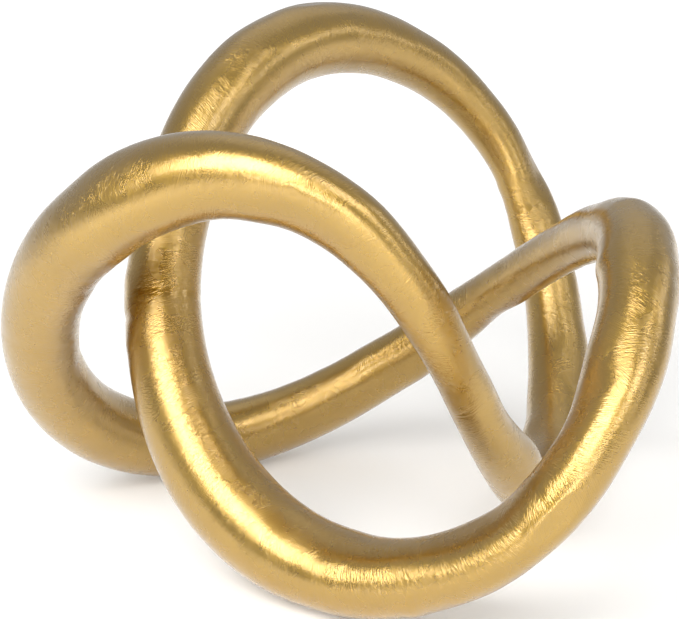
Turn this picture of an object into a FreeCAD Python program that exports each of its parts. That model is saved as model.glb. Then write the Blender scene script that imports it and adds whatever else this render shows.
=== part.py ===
import FreeCAD, Part
import math
import os

# A standing trefoil knot of hollow metal tube, cast as six bends and closed by six welded seams.
# +X is to the right, +Y away from the viewer, +Z up, and the three feet stand on z = 0.

os.makedirs("parts", exist_ok=True)
doc = FreeCAD.newDocument("metal_knot")
Vector = FreeCAD.Vector

# Driving sizes in millimetres
driving_sizes = {
    "half_width": 115.0,        # from the middle of the knot to its reach on the right and left
    "half_depth": 120.0,        # from the middle of the knot to its reach in front and behind
    "rise": 155.0,              # from the floor to the underside of the highest loop
    "tube_size": 28.0,          # thickness of the tube where its thickness share is 1
    "wall": 4.0,                # wall of the hollow castings
    "foot_cut": 0.6,            # metal ground off under each foot
    "weld_width": 3.0,          # length of tube that each weld fills
    "socket_wall": 2.4,         # wall left round the socket in the end of a bend
    "sleeve_length": 20.0,      # sleeve inside each seam
    "sleeve_wall": 2.5,
    "sleeve_clearance": 0.2,    # between a sleeve and its socket
    "end_clearance": 0.3,       # between a sleeve's end and the socket's shoulder
    "overrun": 5.0,             # how far a cutting tool runs past the metal
}

# Stations along the tube, chosen by hand. The turn is in degrees along the knot, once round is 360.
# Right is a share of half_width, behind of half_depth, under (the tube's underside) of rise, and
# thickness of tube_size.
station_shares = [
    # turn, right, behind, under, thickness
    (0, 0.420, -0.525, 0.405, 0.63),
    (15, 0.610, -0.215, 0.095, 0.77),
    (30, 0.740, 0.225, 0.004, 0.88),
    (45, 0.785, 0.650, 0.185, 0.85),
    (60, 0.700, 0.905, 0.540, 0.70),
    (75, 0.410, 0.880, 0.865, 0.75),
    (90, -0.015, 0.610, 1.000, 0.98),
    (105, -0.370, 0.235, 0.865, 1.00),
    (120, -0.510, -0.095, 0.495, 0.95),
    (135, -0.355, -0.360, 0.135, 1.14),
    (150, -0.015, -0.605, 0.000, 1.06),
    (165, 0.350, -0.820, 0.085, 0.87),
    (180, 0.635, -0.925, 0.290, 0.77),
    (195, 0.820, -0.790, 0.510, 0.86),
    (210, 0.900, -0.405, 0.685, 0.93),
    (225, 0.770, 0.070, 0.620, 0.68),
    (240, 0.440, 0.440, 0.350, 0.70),
    (255, -0.025, 0.530, 0.085, 0.85),
    (270, -0.500, 0.385, 0.003, 0.99),
    (285, -0.825, 0.115, 0.160, 1.00),
    (300, -0.880, -0.160, 0.455, 0.98),
    (315, -0.660, -0.400, 0.730, 1.09),
    (330, -0.250, -0.575, 0.870, 0.98),
    (345, 0.155, -0.640, 0.745, 0.72),
]
once_round = 360

# Seams by the turn at which they lie, and the bend that starts at each of them
seam_names = {
    0: "front_crossing",
    60: "rear_limb",
    120: "left_crossing",
    180: "right_limb",
    240: "rear_crossing",
    300: "left_limb",
}
bend_names = {
    0: "right_bottom_bend",
    60: "rear_top_bend",
    120: "front_bottom_bend",
    180: "right_top_bend",
    240: "left_bottom_bend",
    300: "left_top_bend",
}
bend_turns = 60
sections_per_bend = 12


def make_sheet():
    sheet = doc.addObject("Spreadsheet::Sheet", "sizes")
    for row, (name, value) in enumerate(driving_sizes.items(), start=1):
        sheet.set(f"A{row}", name)
        sheet.set(f"B{row}", str(value))
        sheet.setAlias(f"B{row}", name)
    doc.recompute()
    return sheet


sizes = make_sheet()


def closed_curve(points):
    turns = [row[0] for row in station_shares] + [once_round]
    curve = Part.BSplineCurve()
    curve.interpolate(Points=points, PeriodicFlag=True, Parameters=turns)
    return curve


def station_radius(thickness):
    return thickness * sizes.tube_size / 2


def make_path():
    points = []
    for turn, right, behind, under, thickness in station_shares:
        height = under * sizes.rise - sizes.foot_cut + station_radius(thickness)
        points.append(Vector(right * sizes.half_width, behind * sizes.half_depth, height))
    return closed_curve(points)


def make_girth():
    return closed_curve([Vector(station_radius(row[4]), 0, 0) for row in station_shares])


path = make_path()
girth = make_girth()


def middle_at(turn):
    return path.value(turn % once_round)


def along_at(turn):
    return path.tangent(turn % once_round)[0].normalize()


def radius_at(turn):
    return girth.value(turn % once_round).x


def turn_after(turn, length):
    # The turn that lies the given length further along the tube
    one_turn = middle_at(turn + 1).distanceToPoint(middle_at(turn))
    return turn + length / one_turn


def section_wires(turns, wall):
    # Circles square to the tube, each starting on the same side of the bend's own plane
    first, middle, last = (middle_at(turns[place]) for place in (0, len(turns) // 2, -1))
    plane_normal = (first - middle).cross(last - middle).normalize()
    wires = []
    for turn in turns:
        along = along_at(turn)
        across = plane_normal - along * along.dot(plane_normal)
        turned = FreeCAD.Rotation(across, Vector(), along, "ZXY")
        circle = Part.makeCircle(radius_at(turn) - wall)
        circle.Placement = FreeCAD.Placement(middle_at(turn), turned)
        wires.append(Part.Wire([circle]))
    return wires


def spread(start, end, count):
    return [start + (end - start) * step / count for step in range(count + 1)]


def tube_feature(name, turns, wall):
    feature = doc.addObject("Part::Feature", name)
    feature.Shape = Part.makeLoft(section_wires(turns, wall), True, False)
    return feature


def seam_place(turn, length):
    # The start of a straight piece of the given length that is centred on the seam
    along = along_at(turn)
    turned = FreeCAD.Rotation(Vector(0, 0, 1), along)
    return FreeCAD.Placement(middle_at(turn) - along * length / 2, turned)


def thickness_share(turn):
    return next(row[4] for row in station_shares if row[0] == turn)


def seam_cylinder(name, turn, radius, length):
    cylinder = doc.addObject("Part::Cylinder", name)
    cylinder.setExpression("Radius", radius)
    cylinder.setExpression("Height", length)
    doc.recompute()
    cylinder.Placement = seam_place(turn, cylinder.Height.Value)
    return cylinder


def socket_radius(turn):
    return f"sizes.tube_size / 2 * {thickness_share(turn)} - sizes.socket_wall"


def make_socket(turn):
    # The straight bore that both bends and the weld share at a seam
    length = "sizes.sleeve_length + 2 * sizes.end_clearance"
    return seam_cylinder(f"socket_{seam_names[turn]}", turn, socket_radius(turn), length)


def make_sleeve(turn):
    name = f"sleeve_{seam_names[turn]}"
    outer_radius = f"{socket_radius(turn)} - sizes.sleeve_clearance"
    outer = seam_cylinder(f"{name}_outside", turn, outer_radius, "sizes.sleeve_length")
    bore_radius = f"{outer_radius} - sizes.sleeve_wall"
    bore = seam_cylinder(f"{name}_bore", turn, bore_radius, "sizes.sleeve_length + 2 * sizes.overrun")
    return make_cut(name, outer, [bore])


def make_cut(name, base, tools):
    tool = tools[0]
    if len(tools) > 1:
        tool = doc.addObject("Part::MultiFuse", f"{name}_tools")
        tool.Shapes = tools
    cut = doc.addObject("Part::Cut", name)
    cut.Base = base
    cut.Tool = tool
    cut.Label = name
    return cut


def seam_edges(turn):
    half = sizes.weld_width / 2
    return turn_after(turn, -half), turn_after(turn, half)


def make_weld(turn, socket):
    name = f"weld_{seam_names[turn]}"
    start, end = seam_edges(turn)
    blank = tube_feature(f"{name}_blank", [start, turn, end], 0)
    return make_cut(name, blank, [socket])


def make_ground():
    # Everything below the floor, which grinds the three feet flat
    ground = doc.addObject("Part::Box", "ground")
    ground.setExpression("Length", "2 * (sizes.half_width + sizes.tube_size)")
    ground.setExpression("Width", "2 * (sizes.half_depth + sizes.tube_size)")
    ground.setExpression("Height", "sizes.foot_cut + sizes.overrun")
    doc.recompute()
    corner = Vector(-ground.Length.Value / 2, -ground.Width.Value / 2, -ground.Height.Value)
    ground.Placement = FreeCAD.Placement(corner, FreeCAD.Rotation())
    return ground


def make_blank(turn, ground):
    # The outside of a bend, with its foot ground flat if it has one
    name = bend_names[turn]
    start = seam_edges(turn)[1]
    end = seam_edges(turn + bend_turns)[0]
    blank = tube_feature(f"{name}_outside", spread(start, end, sections_per_bend), 0)
    if "bottom" in name:
        return make_cut(f"{name}_blank", blank, [ground])
    return blank


def make_bend(turn, sockets, ground):
    name = bend_names[turn]
    next_seam = turn + bend_turns
    reach = sizes.sleeve_length / 4
    hollow_turns = spread(turn_after(turn, reach), turn_after(next_seam, -reach), sections_per_bend)
    hollow = tube_feature(f"{name}_hollow", hollow_turns, sizes.wall)
    tools = [hollow, sockets[turn], sockets[next_seam % once_round]]
    return make_cut(name, make_blank(turn, ground), tools)


def make_knot():
    ground = make_ground()
    sockets = {turn: make_socket(turn) for turn in seam_names}
    bends = [make_bend(turn, sockets, ground) for turn in bend_names]
    sleeves = [make_sleeve(turn) for turn in seam_names]
    welds = [make_weld(turn, sockets[turn]) for turn in seam_names]
    doc.recompute()
    return bends + sleeves + welds


def check_and_write(pieces):
    for thing in doc.Objects:
        if "Invalid" in thing.State or "Error" in thing.State:
            raise RuntimeError(f"{thing.Name} did not recompute")
    for piece in pieces:
        if piece.Shape.isNull() or not piece.Shape.isValid():
            raise RuntimeError(f"{piece.Label} has no sound shape")
        if len(piece.Shape.Solids) != 1:
            raise RuntimeError(f"{piece.Label} is not one solid")
        piece.Shape.exportStep(f"parts/{piece.Label}.step")
        print(piece.Label, round(piece.Shape.Volume), "cubic millimetres")


check_and_write(make_knot())
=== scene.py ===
import math

import bpy
import numpy as np
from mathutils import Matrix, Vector, noise


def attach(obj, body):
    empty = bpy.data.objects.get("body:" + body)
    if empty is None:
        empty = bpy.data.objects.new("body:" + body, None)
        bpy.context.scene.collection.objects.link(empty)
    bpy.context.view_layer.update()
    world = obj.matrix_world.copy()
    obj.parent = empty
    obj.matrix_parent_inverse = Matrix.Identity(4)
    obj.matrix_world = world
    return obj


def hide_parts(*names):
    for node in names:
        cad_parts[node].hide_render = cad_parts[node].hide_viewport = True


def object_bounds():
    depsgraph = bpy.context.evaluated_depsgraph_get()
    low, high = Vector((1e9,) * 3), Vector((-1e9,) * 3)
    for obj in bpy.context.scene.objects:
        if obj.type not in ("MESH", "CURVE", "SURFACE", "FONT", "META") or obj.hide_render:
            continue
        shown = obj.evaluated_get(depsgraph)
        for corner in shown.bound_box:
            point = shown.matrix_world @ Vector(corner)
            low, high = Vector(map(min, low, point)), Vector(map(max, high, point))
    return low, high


# A trefoil knot of cast tube in satin brushed gold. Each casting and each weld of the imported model
# gets a dressed skin with the hand-made unevenness of the real one. The sleeves inside stay as they are.

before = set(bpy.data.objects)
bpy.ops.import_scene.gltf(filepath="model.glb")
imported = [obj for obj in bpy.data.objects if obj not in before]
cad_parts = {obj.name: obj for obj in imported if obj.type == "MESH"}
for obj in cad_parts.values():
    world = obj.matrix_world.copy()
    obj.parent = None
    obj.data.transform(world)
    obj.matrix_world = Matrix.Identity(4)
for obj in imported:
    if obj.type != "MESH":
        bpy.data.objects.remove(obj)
cadLow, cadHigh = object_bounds()
print("frame loaded:", len(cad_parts), "nodes")

mm = 0.001

# The line of the tube, in metres
knot = {
    "halfWidth": 0.115,      # from the middle to the reach on the right and left
    "halfDepth": 0.120,      # from the middle to the reach in front and behind
    "rise": 0.155,           # from the floor to the underside of the highest loop
    "tubeSize": 0.028,       # thickness of the tube where its share is 1
    "footCut": 0.0006,       # metal ground off under each foot
    "stationTurn": 15,       # degrees of turn between two stations
    "bendTurn": 60,          # degrees of turn that one casting takes
    "tableMargin": 185,      # degrees by which the table of lengths goes past each end of the knot
    "tableStep": 0.05,       # degrees between two rows of that table
}

# Each station as shares of the sizes above: right, behind, under (the tube's underside), thickness.
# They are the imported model's own. A program fitted them to places read off the photograph, and they
# were then rounded and moved a little
stationShares = [
    (0.420, -0.525, 0.405, 0.63),
    (0.610, -0.215, 0.095, 0.77),
    (0.740, 0.225, 0.004, 0.88),
    (0.785, 0.650, 0.185, 0.85),
    (0.700, 0.905, 0.540, 0.70),
    (0.410, 0.880, 0.865, 0.75),
    (-0.015, 0.610, 1.000, 0.98),
    (-0.370, 0.235, 0.865, 1.00),
    (-0.510, -0.095, 0.495, 0.95),
    (-0.355, -0.360, 0.135, 1.14),
    (-0.015, -0.605, 0.000, 1.06),
    (0.350, -0.820, 0.085, 0.87),
    (0.635, -0.925, 0.290, 0.77),
    (0.820, -0.790, 0.510, 0.86),
    (0.900, -0.405, 0.685, 0.93),
    (0.770, 0.070, 0.620, 0.68),
    (0.440, 0.440, 0.350, 0.70),
    (-0.025, 0.530, 0.085, 0.85),
    (-0.500, 0.385, 0.003, 0.99),
    (-0.825, 0.115, 0.160, 1.00),
    (-0.880, -0.160, 0.455, 0.98),
    (-0.660, -0.400, 0.730, 1.09),
    (-0.250, -0.575, 0.870, 0.98),
    (0.155, -0.640, 0.745, 0.72),
]


def stationPoints():
    shares = np.array(stationShares)
    radius = shares[:, 3] * knot["tubeSize"] / 2
    height = shares[:, 2] * knot["rise"] - knot["footCut"] + radius
    right, behind = shares[:, 0] * knot["halfWidth"], shares[:, 1] * knot["halfDepth"]
    return np.stack([right, behind, height, radius], 1)


def stationSlopes(points):
    # The slopes that make one smooth closed curve through all stations
    count = len(points)
    sums = 4 * np.eye(count) + np.roll(np.eye(count), 1, 0) + np.roll(np.eye(count), -1, 0)
    return np.linalg.solve(sums, 3 * (np.roll(points, -1, 0) - np.roll(points, 1, 0)))


points = stationPoints()
slopes = stationSlopes(points)


def knotAt(turns):
    # Middle of the tube, its direction per degree of turn, and its radius. f is the share of the way
    # from one station to the next
    place = np.atleast_1d(np.asarray(turns, float)) / knot["stationTurn"] % len(points)
    start = place.astype(int) % len(points)
    end = (start + 1) % len(points)
    f = (place - np.floor(place))[:, None]
    here = ((2 * f**3 - 3 * f**2 + 1) * points[start] + (f**3 - 2 * f**2 + f) * slopes[start]
            + (3 * f**2 - 2 * f**3) * points[end] + (f**3 - f**2) * slopes[end])
    rate = ((6 * f**2 - 6 * f) * (points[start] - points[end])
            + (3 * f**2 - 4 * f + 1) * slopes[start]
            + (3 * f**2 - 2 * f) * slopes[end]) / knot["stationTurn"]
    return here[:, :3], rate[:, :3], here[:, 3]


tableRows = round((360 + 2 * knot["tableMargin"]) / knot["tableStep"]) + 1
arcTurns = np.linspace(-knot["tableMargin"], 360 + knot["tableMargin"], tableRows)
arcSteps = np.linalg.norm(np.diff(knotAt(arcTurns)[0], axis=0), axis=1)
arcLengths = np.concatenate([[0], np.cumsum(arcSteps)])


def arcAt(turns):
    return np.interp(turns, arcTurns, arcLengths)


def turnAfter(turn, length):
    return float(np.interp(arcAt(turn) + length, arcLengths, arcTurns))


# Pieces

skin = {
    "corners": 18,           # of each ring of the cage
    "castingRings": 25,      # along one casting, about 9 mm apart
    "weldRings": 2,
    "levels": 3,             # of subdivision, to about 0.5 mm round the tube and 1.2 mm along it
    "castingWall": 4.0 * mm,
    "weldWall": 2.4 * mm,    # down to the sleeve's socket
    "weldWidth": 3.0 * mm,
    "smoothAngle": 50,       # degrees, past which an edge stays sharp
    "placeTries": 160,       # places along a piece at which the nearest turn is first looked for
    "placePasses": 6,
    "underSide": -0.8,       # cosine of the angle past which the brushing is read from below alone
    "underFade": 0.4,        # how much of that cosine the change from above to below takes
    "uvLength": 0.1,         # metres of tube to one unit of the UV map
}

seamNames = {0: "front_crossing", 60: "rear_limb", 120: "left_crossing",
             180: "right_limb", 240: "rear_crossing", 300: "left_limb"}
bendNames = {0: "right_bottom_bend", 60: "rear_top_bend", 120: "front_bottom_bend",
             180: "right_top_bend", 240: "left_bottom_bend", 300: "left_top_bend"}


def addCage(name, startTurn, endTurn, rings):
    # Circles square to the tube, bridged to an open tube
    bpy.ops.object.select_all(action="DESELECT")
    for step in range(rings + 1):
        middle, along, radius = knotAt(startTurn + (endTurn - startTurn) * step / rings)
        turned = Vector(along[0]).to_track_quat("Z", "Y").to_euler()
        bpy.ops.mesh.primitive_circle_add(vertices=skin["corners"], radius=radius[0],
                                          location=middle[0], rotation=turned)
        if step == 0:
            piece = bpy.context.object
            piece.name = piece.data.name = name
            bpy.ops.object.transform_apply(location=True, rotation=True, scale=True)
            bpy.ops.object.mode_set(mode="EDIT")
    bpy.ops.mesh.select_all(action="SELECT")
    bpy.ops.mesh.bridge_edge_loops()
    bpy.ops.mesh.select_all(action="SELECT")
    bpy.ops.mesh.normals_make_consistent(inside=False)
    bpy.ops.object.mode_set(mode="OBJECT")
    return piece


def applyModifier(piece, kind, **settings):
    modifier = piece.modifiers.new(kind.title(), kind)
    for key, value in settings.items():
        setattr(modifier, key, value)
    bpy.ops.object.modifier_apply(modifier=modifier.name)


def nearestTurns(places, startTurn, endTurn):
    # The turn at which the tube's line passes nearest to each place
    tries = np.linspace(startTurn, endTurn, skin["placeTries"])
    line = knotAt(tries)[0]
    turns = tries[((line**2).sum(1)[None] - 2 * places @ line.T).argmin(1)]
    for step in range(skin["placePasses"]):
        middle, along = knotAt(turns)[:2]
        turns = turns + ((places - middle) * along).sum(1) / (along**2).sum(1)
        turns = np.clip(turns, startTurn, endTurn)
    return turns


def tubeFrame(places, turns):
    # Outward direction and the angle round the tube: 0 on its upper side, 90 on its right seen along it
    middle, along, radius = knotAt(turns)
    along = along / np.linalg.norm(along, axis=1)[:, None]
    out = places - middle
    out = out - along * (out * along).sum(1)[:, None]
    out = out / np.linalg.norm(out, axis=1)[:, None]
    upper = np.array([0, 0, 1]) - along * along[:, 2:3]
    upper = upper / np.linalg.norm(upper, axis=1)[:, None]
    side = np.cross(along, upper)
    angles = np.degrees(np.arctan2((out * side).sum(1), (out * upper).sum(1)))
    return middle, out, radius, angles


def smoothNoise(places, size):
    return np.array([noise.noise(Vector(place / size)) for place in places])


relief = {
    "unevenness": 0.14 * mm, "unevennessSize": 30 * mm,   # of the hand-made pattern
    "dressing": 0.07 * mm, "dressingSize": 9 * mm,        # left by the hand-held abrasive
    "dressingShift": 0.5,                                 # metres off, where the noise is another
    "seamDip": 0.06 * mm, "seamWidth": 2.2 * mm,          # at a weld that is ground flush
    "swellLength": 10 * mm,                               # how far each swell below reaches along
    "swellAngle": 42,                                     # and round the tube, in degrees
}

# Where the section is a little oval: turn, angle round the tube of its long side, mm, mm along the
# tube. They began as a program's comparison of the highlights and were then tuned
ovals = [
    (61, -105, 1.4, 22), (152, 105, 1.3, 30), (171, 123, 1.6, 28), (181, 121, 0.7, 16),
    (193, 71, 1.7, 26), (254, -26, 1.3, 40), (319, 138, 1.3, 27), (339, 35, 1.7, 32),
]

# Where the hand-made tube is fuller (+) or leaner (-) than a round one: turn, angle round the tube,
# mm. Picked and rounded from a program's comparison of the outline with the photograph's
swells = [
    (3, 46, -0.8), (9, 47, 1.5), (33, -76, 1.4), (39, -82, 0.3), (45, 70, 0.8),
    (51, 63, 0.3), (57, 26, -0.3), (57, -124, 0.4), (63, 8, -0.7), (72, -15, -0.4),
    (81, -17, -0.3), (84, -170, -0.4), (93, 6, 0.5), (99, 24, 0.4), (99, -140, 0.2),
    (111, 36, -0.3), (120, 70, 0.6), (150, 140, -0.5), (152, -21, 0.4), (165, 160, -0.3),
    (174, 0, -0.7), (195, -42, 0.5), (201, 94, -0.6), (201, -64, -0.6), (207, 60, -0.8),
    (207, -86, 1.1), (219, -21, -0.8), (225, -29, -0.2), (237, 179, -1.5), (240, -12, 0.4),
    (246, -165, 0.8), (249, -5, 0.3), (282, 90, -0.4), (294, -92, -0.6), (303, -128, -0.3),
    (315, 23, -0.6), (315, -171, 0.8), (333, 150, 0.8), (342, 8, 0.4), (345, 152, 0.3),
    (351, 18, 0.6), (357, 38, -0.3), (357, -169, -0.4),
]

# Small marks of the hand work: turn, angle, mm high, mm long along the tube, mm wide round it. First
# the bumps on the left limb's outline, then the crease beside them, the left loop's kink and the nicks
marks = [
    (118.7, 74, 0.3, 3.0, 5.0), (121.4, 76, -0.5, 1.8, 5.0), (123.2, 86, 0.3, 3.0, 6.0),
    (122.8, 24, -0.12, 1.8, 5.0), (124.0, 8, 0.1, 3.0, 7.0),
    (308.5, -163, -0.25, 4.0, 8.0), (312.5, -161, 0.25, 5.0, 9.0),
    (311.1, 157, -0.15, 1.2, 5.0), (336.2, 75, -0.25, 1.1, 1.1), (331.6, 84, -0.15, 1.2, 3.0),
    (155.1, 61, -0.2, 1.2, 1.2), (147.8, 96, -0.2, 1.4, 1.4), (161.1, 145, 0.4, 3.0, 6.0),
    (166.3, 138, 0.3, 2.5, 2.5), (195.1, -14, -0.2, 1.2, 1.2), (213.1, -1, 0.5, 5.0, 7.0),
    (206.0, -79, 0.5, 3.5, 6.0), (203.8, 65, -0.3, 3.0, 7.0), (63.0, -150, 0.3, 3.0, 5.0),
]


def turnsApart(turns, turn):
    return (turns - turn + 180) % 360 - 180


def bulge(turns, angles, radius, turn, angle, length, width):
    # A soft round hill on the tube, 1 high in its middle
    along = (arcAt(turn + turnsApart(turns, turn)) - arcAt(turn)) / length
    around = np.radians(turnsApart(angles, angle)) * radius / width
    return np.exp(-(along**2 + around**2))


def reliefAt(places, turns, angles, radius):
    height = relief["unevenness"] * smoothNoise(places, relief["unevennessSize"])
    shifted = places + relief["dressingShift"]
    height += relief["dressing"] * smoothNoise(shifted, relief["dressingSize"])
    for seam in seamNames:
        away = arcAt(seam + turnsApart(turns, seam)) - arcAt(seam)
        height -= relief["seamDip"] * np.exp(-(away / relief["seamWidth"])**2)
    for turn, angle, amount, length in ovals:
        ends = bulge(turns, angles, radius, turn, angles, length * mm, mm)
        height += amount * mm * ends * np.cos(2 * np.radians(angles - angle))
    for turn, angle, amount in swells:
        width = math.radians(relief["swellAngle"]) * radius
        height += amount * mm * bulge(turns, angles, radius, turn, angle, relief["swellLength"], width)
    for turn, angle, amount, length, width in marks:
        height += amount * mm * bulge(turns, angles, radius, turn, angle, length * mm, width * mm)
    return height


def dress(piece, startTurn, endTurn):
    mesh = piece.data
    places = np.zeros(len(mesh.vertices) * 3)
    mesh.vertices.foreach_get("co", places)
    places = places.reshape(-1, 3)
    turns = nearestTurns(places, startTurn, endTurn)
    middle, out, radius, angles = tubeFrame(places, turns)
    places = middle + out * (radius + reliefAt(places, turns, angles, radius))[:, None]
    places[:, 2] = np.maximum(places[:, 2], 0)
    places = np.clip(places, np.array(cadLow), np.array(cadHigh))
    mesh.vertices.foreach_set("co", places.ravel())
    mesh.update()
    # Surface coordinates in mm, along the tube and round it, once from the upper side and once from
    # below, and how much of the first to use, so that the brushing has no seam
    topShare = np.clip((np.cos(np.radians(angles)) - skin["underSide"]) / skin["underFade"], 0, 1)
    below = (angles + 360) % 360 - 180
    layers = (("tubeTop", angles, topShare), ("tubeUnder", below, 0 * below))
    for name, around, share in layers:
        surface = np.stack([arcAt(turns) / mm, np.radians(around) * radius / mm, share], 1)
        layer = mesh.attributes.new(name, "FLOAT_VECTOR", "POINT")
        layer.data.foreach_set("vector", surface.ravel())
    addTubeMap(mesh, turns, angles)


def addTubeMap(mesh, turns, angles):
    # The UV map, whose direction along the tube turns the brushed gloss. The angle jumps by a whole
    # circle on the underside, so each face counts it from its own first corner
    corners = np.zeros(len(mesh.loops), int)
    mesh.loops.foreach_get("vertex_index", corners)
    faceOf = np.repeat(np.arange(len(mesh.polygons)), [p.loop_total for p in mesh.polygons])
    first = angles[corners][[p.loop_start for p in mesh.polygons]][faceOf]
    around = first + turnsApart(angles[corners], first)
    lengths = arcAt(turns)[corners] / skin["uvLength"]
    layer = mesh.uv_layers.new(name="tube") if not mesh.uv_layers else mesh.uv_layers[0]
    layer.name = "tube"
    layer.data.foreach_set("uv", np.stack([lengths, around / 360], 1).ravel())


def addSkin(node, startTurn, endTurn, rings, wall):
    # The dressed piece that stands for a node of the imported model
    piece = addCage(f"{node}_skin", startTurn, endTurn, rings)
    applyModifier(piece, "SUBSURF", levels=skin["levels"], render_levels=skin["levels"])
    dress(piece, startTurn, endTurn)
    applyModifier(piece, "SOLIDIFY", thickness=wall, offset=-1)
    bpy.ops.object.shade_smooth_by_angle(angle=math.radians(skin["smoothAngle"]))
    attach(piece, "root")
    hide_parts(node)
    return piece


halfWeld = skin["weldWidth"] / 2
castings = []
for turn, name in bendNames.items():
    start, end = turnAfter(turn, halfWeld), turnAfter(turn + knot["bendTurn"], -halfWeld)
    castings.append(addSkin(name, start, end, skin["castingRings"], skin["castingWall"]))
    print("casting:", name, len(castings[-1].data.polygons), "faces")

welds = []
for turn, name in seamNames.items():
    start, end = turnAfter(turn, -halfWeld), turnAfter(turn, halfWeld)
    welds.append(addSkin(f"weld_{name}", start, end, skin["weldRings"], skin["weldWall"]))
print("welds:", len(welds))


# Finishes

def addNode(tree, kind, settings=None, inputs=None):
    node = tree.nodes.new(kind)
    for key, value in (settings or {}).items():
        setattr(node, key, value)
    for key, value in (inputs or {}).items():
        if isinstance(value, bpy.types.NodeSocket):
            tree.links.new(value, node.inputs[key])
        else:
            node.inputs[key].default_value = value
    return node


def hexColour(text):
    parts = [int(text[place:place + 2], 16) / 255 for place in (1, 3, 5)]
    return [part / 12.92 if part <= 0.04045 else ((part + 0.055) / 1.055)**2.4 for part in parts] + [1.0]


def newMaterial(name):
    material = bpy.data.materials.new(name)
    material.use_nodes = True
    material.node_tree.nodes.clear()
    return material


# Cast aluminium brushed by hand, in an old gold tone under a clear satin lacquer. The gold keeps the
# darker bands olive, and the lacquer turns the highlights creamy and adds a pale rim at flat angles.
# The brushing runs across the tube in short strokes and gives the highlights their silky grain. The
# real strokes are about 0.1 mm wide, drawn about four times as wide here so that they show. The
# lacquer's index is above the usual 1.5, for a sheen as strong as the real one's.
giltCasting = {
    "lightGold": "#B28C28",
    "deepGold": "#A07B11",
    "toneSize": 22.0,              # mm
    "roughness": (0.24, 0.31),
    "roughnessSpan": (0.3, 0.7),   # values of its noise that give these two
    "roughnessSize": 9.0,          # mm
    "anisotropy": 0.3,
    "lacquer": 1.0,
    "lacquerRoughness": 0.16,
    "lacquerIndex": 1.85,
    "lacquerFollows": 0.9,         # how far the lacquer's surface follows the strokes under it
    "strokeWidth": 0.35,           # mm
    "strokeLength": 4.5,           # mm
    "strokeThrough": 1e6,          # mm, so much that the third surface coordinate has no say
    "strokeRaggedness": 0.6,
    "strokeLeans": (24, -14),      # degrees from square across the tube
    "strokeDepth": 0.20,           # mm
    "patchSize": 30.0,             # mm, areas brushed one way
    "patchEdge": (0.42, 0.58),     # values of their noise between which the one lean fades into the other
    "grainSize": 0.4,              # mm
    "grainDepth": 0.022,           # mm
    "mottleSize": 5.0,             # mm
    "mottleDepth": 0.09,           # mm
}

# The same finish over the welds, dressed with a coarser abrasive
giltWeld = dict(giltCasting, strokeWidth=0.7, strokeLeans=(12, -8))


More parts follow.
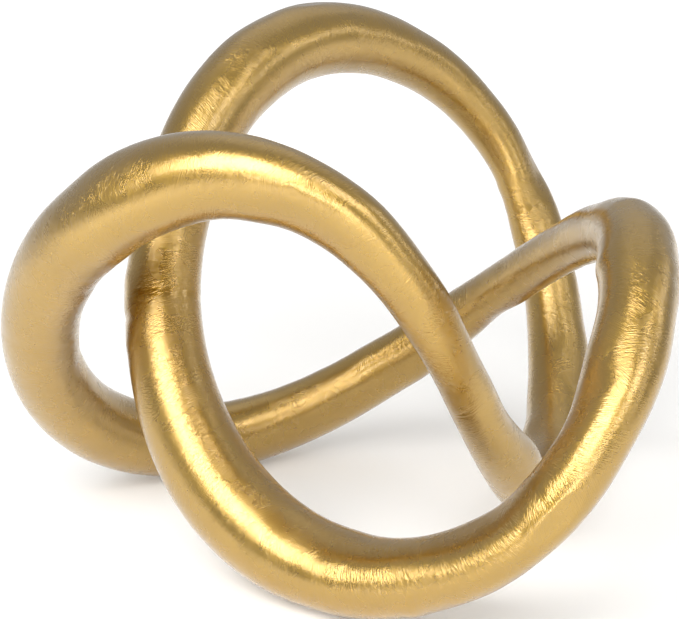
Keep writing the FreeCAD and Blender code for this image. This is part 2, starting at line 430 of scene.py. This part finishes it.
def giltMaterial(name, finish):
    material = newMaterial(name)
    tree = material.node_tree
    place = addNode(tree, "ShaderNodeTexCoord").outputs["Object"]
    top = addNode(tree, "ShaderNodeAttribute", {"attribute_name": "tubeTop"}).outputs["Vector"]
    under = addNode(tree, "ShaderNodeAttribute", {"attribute_name": "tubeUnder"}).outputs["Vector"]
    topShare = addNode(tree, "ShaderNodeSeparateXYZ", inputs={"Vector": top}).outputs["Z"]

    def noiseOf(vector, size, detail=2.0, roughness=0.5):
        pattern = addNode(tree, "ShaderNodeTexNoise", inputs={
            "Vector": vector, "Scale": 1 / size, "Detail": detail, "Roughness": roughness})
        return pattern.outputs["Fac"]

    strokes = []
    for lean in finish["strokeLeans"]:
        sides = []
        for coordinates in (under, top):
            stroke = (finish["strokeWidth"], finish["strokeLength"], finish["strokeThrough"])
            across = addNode(tree, "ShaderNodeMapping", {"vector_type": "TEXTURE"}, {
                "Vector": coordinates, "Rotation": (0, 0, math.radians(lean)), "Scale": stroke})
            sides.append(noiseOf(across.outputs["Vector"], 1.0, roughness=finish["strokeRaggedness"]))
        joined = addNode(tree, "ShaderNodeMix", inputs={0: topShare, 2: sides[0], 3: sides[1]})
        strokes.append(joined.outputs[0])
    patches = addNode(tree, "ShaderNodeMapRange", {"interpolation_type": "SMOOTHSTEP"}, {
        "Value": noiseOf(place, finish["patchSize"] * mm, detail=1.0),
        "From Min": finish["patchEdge"][0], "From Max": finish["patchEdge"][1]}).outputs[0]
    brushed = addNode(tree, "ShaderNodeMix", inputs={0: patches, 2: strokes[0], 3: strokes[1]}).outputs[0]

    mottle = addNode(tree, "ShaderNodeBump", inputs={
        "Height": noiseOf(place, finish["mottleSize"] * mm),
        "Distance": finish["mottleDepth"] * mm})
    grain = addNode(tree, "ShaderNodeBump", inputs={
        "Height": noiseOf(place, finish["grainSize"] * mm, detail=1.0),
        "Distance": finish["grainDepth"] * mm, "Normal": mottle.outputs["Normal"]})
    brushing = addNode(tree, "ShaderNodeBump", inputs={
        "Height": brushed, "Distance": finish["strokeDepth"] * mm, "Normal": grain.outputs["Normal"]})
    lacquered = addNode(tree, "ShaderNodeBump", inputs={
        "Height": brushed, "Distance": finish["strokeDepth"] * finish["lacquerFollows"] * mm,
        "Normal": grain.outputs["Normal"]})

    colour = addNode(tree, "ShaderNodeMix", {"data_type": "RGBA"}, {
        0: noiseOf(place, finish["toneSize"] * mm, detail=3.0),
        6: hexColour(finish["lightGold"]), 7: hexColour(finish["deepGold"])}).outputs[2]
    roughness = addNode(tree, "ShaderNodeMapRange", inputs={
        "Value": noiseOf(place, finish["roughnessSize"] * mm, detail=3.0),
        "From Min": finish["roughnessSpan"][0], "From Max": finish["roughnessSpan"][1],
        "To Min": finish["roughness"][0], "To Max": finish["roughness"][1]}).outputs[0]
    along = addNode(tree, "ShaderNodeTangent", {"direction_type": "UV_MAP", "uv_map": "tube"})
    shader = addNode(tree, "ShaderNodeBsdfPrincipled", inputs={
        "Base Color": colour, "Metallic": 1.0, "Roughness": roughness,
        "Anisotropic": finish["anisotropy"], "Tangent": along.outputs["Tangent"],
        "Normal": brushing.outputs["Normal"], "Coat Weight": finish["lacquer"],
        "Coat Roughness": finish["lacquerRoughness"], "Coat IOR": finish["lacquerIndex"],
        "Coat Normal": lacquered.outputs["Normal"]})
    addNode(tree, "ShaderNodeOutputMaterial", inputs={"Surface": shader.outputs["BSDF"]})
    return material


gilt = giltMaterial("brushed gilt aluminium casting", giltCasting)
giltOverWeld = giltMaterial("brushed gilt weld", giltWeld)
for piece in castings + welds:
    piece.data.materials.clear()
    piece.data.materials.append(gilt if piece in castings else giltOverWeld)

# Drawn aluminium tube, left bare inside the seams: plain grey metal with a fine grain
sleeveFinish = {
    "colour": "#C9CACC",
    "roughness": 0.4,
    "grainSize": 0.6,              # mm
    "grainDepth": 0.01,            # mm
}


def sleeveMaterial(name, finish):
    material = newMaterial(name)
    tree = material.node_tree
    place = addNode(tree, "ShaderNodeTexCoord").outputs["Object"]
    grain = addNode(tree, "ShaderNodeTexNoise", inputs={
        "Vector": place, "Scale": 1 / (finish["grainSize"] * mm)})
    bump = addNode(tree, "ShaderNodeBump", inputs={
        "Height": grain.outputs["Fac"], "Distance": finish["grainDepth"] * mm})
    shader = addNode(tree, "ShaderNodeBsdfPrincipled", inputs={
        "Base Color": hexColour(finish["colour"]), "Metallic": 1.0, "Roughness": finish["roughness"],
        "Normal": bump.outputs["Normal"]})
    addNode(tree, "ShaderNodeOutputMaterial", inputs={"Surface": shader.outputs["BSDF"]})
    return material


bareTube = sleeveMaterial("drawn aluminium tube", sleeveFinish)
for name in seamNames.values():
    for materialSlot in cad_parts[f"sleeve_{name}"].material_slots:
        materialSlot.material = bareTube
print("finishes done")


# Studio

studio = {
    "floorSize": 9.0,
    "floorColour": "#E7E6E4",
    "floorRoughness": 0.9,
    "floorLift": (0.20, 0.60),    # brings the lit floor up to white, near the object and far from it
    "floorNear": 0.15, "floorFar": 0.9,
    "worldLevel": 0.51,
    "aimHeight": 0.09,            # the point above the middle of the floor that every lamp faces
    "camera": (0.0159, -0.6841, 0.2938),
    "tiltDown": 17.76,
    "focalPixels": 1982.7,
    "contentRight": 34.07,        # pixels from the lens's axis to the photograph's middle
    "contentDown": 19.55,
    "imageWidth": 679,
    "sensorWidth": 36,
}

bpy.ops.object.select_all(action="DESELECT")
bpy.ops.mesh.primitive_plane_add(size=studio["floorSize"], location=(0, 0, 0))
floor = bpy.context.object
floor.name = "floor"


def floorMaterial(name):
    # Seen directly and in reflections the floor is white with the shadow on it. The diffuse light that
    # it throws on the object is that of matt white card
    material = newMaterial(name)
    tree = material.node_tree
    rays = addNode(tree, "ShaderNodeLightPath").outputs
    seen = rays["Is Camera Ray"]
    for ray in ("Is Glossy Ray", "Is Transmission Ray"):
        seen = addNode(tree, "ShaderNodeMath", {"operation": "MAXIMUM"}, {0: seen, 1: rays[ray]}).outputs[0]
    place = addNode(tree, "ShaderNodeTexCoord").outputs["Object"]
    away = addNode(tree, "ShaderNodeVectorMath", {"operation": "LENGTH"}, {0: place}).outputs["Value"]
    level = addNode(tree, "ShaderNodeMapRange", {"interpolation_type": "SMOOTHSTEP"}, {
        "Value": away, "From Min": studio["floorNear"], "From Max": studio["floorFar"],
        "To Min": studio["floorLift"][0], "To Max": studio["floorLift"][1]}).outputs[0]
    lift = addNode(tree, "ShaderNodeMath", {"operation": "MULTIPLY"}, {0: seen, 1: level}).outputs[0]
    shader = addNode(tree, "ShaderNodeBsdfPrincipled", inputs={
        "Base Color": hexColour(studio["floorColour"]), "Roughness": studio["floorRoughness"],
        "Emission Color": (1, 1, 1, 1), "Emission Strength": lift})
    addNode(tree, "ShaderNodeOutputMaterial", inputs={"Surface": shader.outputs["BSDF"]})
    return material


floor.data.materials.append(floorMaterial("matt white card"))

world = bpy.data.worlds.new("studio")
bpy.context.scene.world = world
world.use_nodes = True
background = world.node_tree.nodes["Background"].inputs
background["Color"].default_value = (1, 1, 1, 1)
background["Strength"].default_value = studio["worldLevel"]

# Softboxes: azimuth (0 on the camera's side, turning to the right) and elevation in degrees,
# distance, width and height in metres, and how bright the face looks, where 1 is white
softboxes = {
    "keySoftbox": (-30, 40, 0.95, 0.78, 0.58, 7.4),
    "fillSoftbox": (40, 42, 0.95, 0.40, 0.26, 5.2),
    "frontSoftbox": (-2, 9, 1.20, 0.90, 0.22, 6.3),
    "sideSoftbox": (54, 20, 0.95, 0.13, 0.34, 2.6),
    "rightSoftbox": (88, 30, 0.62, 0.13, 0.13, 3.4),
    "backSoftbox": (172, 60, 1.50, 1.30, 0.90, 0.35),
}


def addSoftbox(name, azimuth, elevation, distance, width, height, level):
    a, e = math.radians(azimuth), math.radians(elevation)
    aim = Vector((0, 0, studio["aimHeight"]))
    place = Vector((math.sin(a) * math.cos(e), -math.cos(a) * math.cos(e), math.sin(e))) * distance + aim
    bpy.ops.object.light_add(type="AREA", location=place)
    lamp = bpy.context.object
    lamp.name = name
    lamp.rotation_euler = (place - aim).to_track_quat("Z", "Y").to_euler()
    lamp.data.shape = "RECTANGLE"
    lamp.data.size, lamp.data.size_y = width, height
    lamp.data.energy = level * math.pi * width * height


for name, setting in softboxes.items():
    addSoftbox(name, *setting)

tilt = math.radians(90 - studio["tiltDown"])
bpy.ops.object.camera_add(location=studio["camera"], rotation=(tilt, 0, 0))
camera = bpy.context.object
camera.data.sensor_width = studio["sensorWidth"]
camera.data.lens = studio["focalPixels"] * studio["sensorWidth"] / studio["imageWidth"]
camera.data.shift_x = -studio["contentRight"] / studio["imageWidth"]
camera.data.shift_y = studio["contentDown"] / studio["imageWidth"]
bpy.context.scene.camera = camera
bpy.context.scene.view_settings.view_transform = "Standard"
print("studio done")
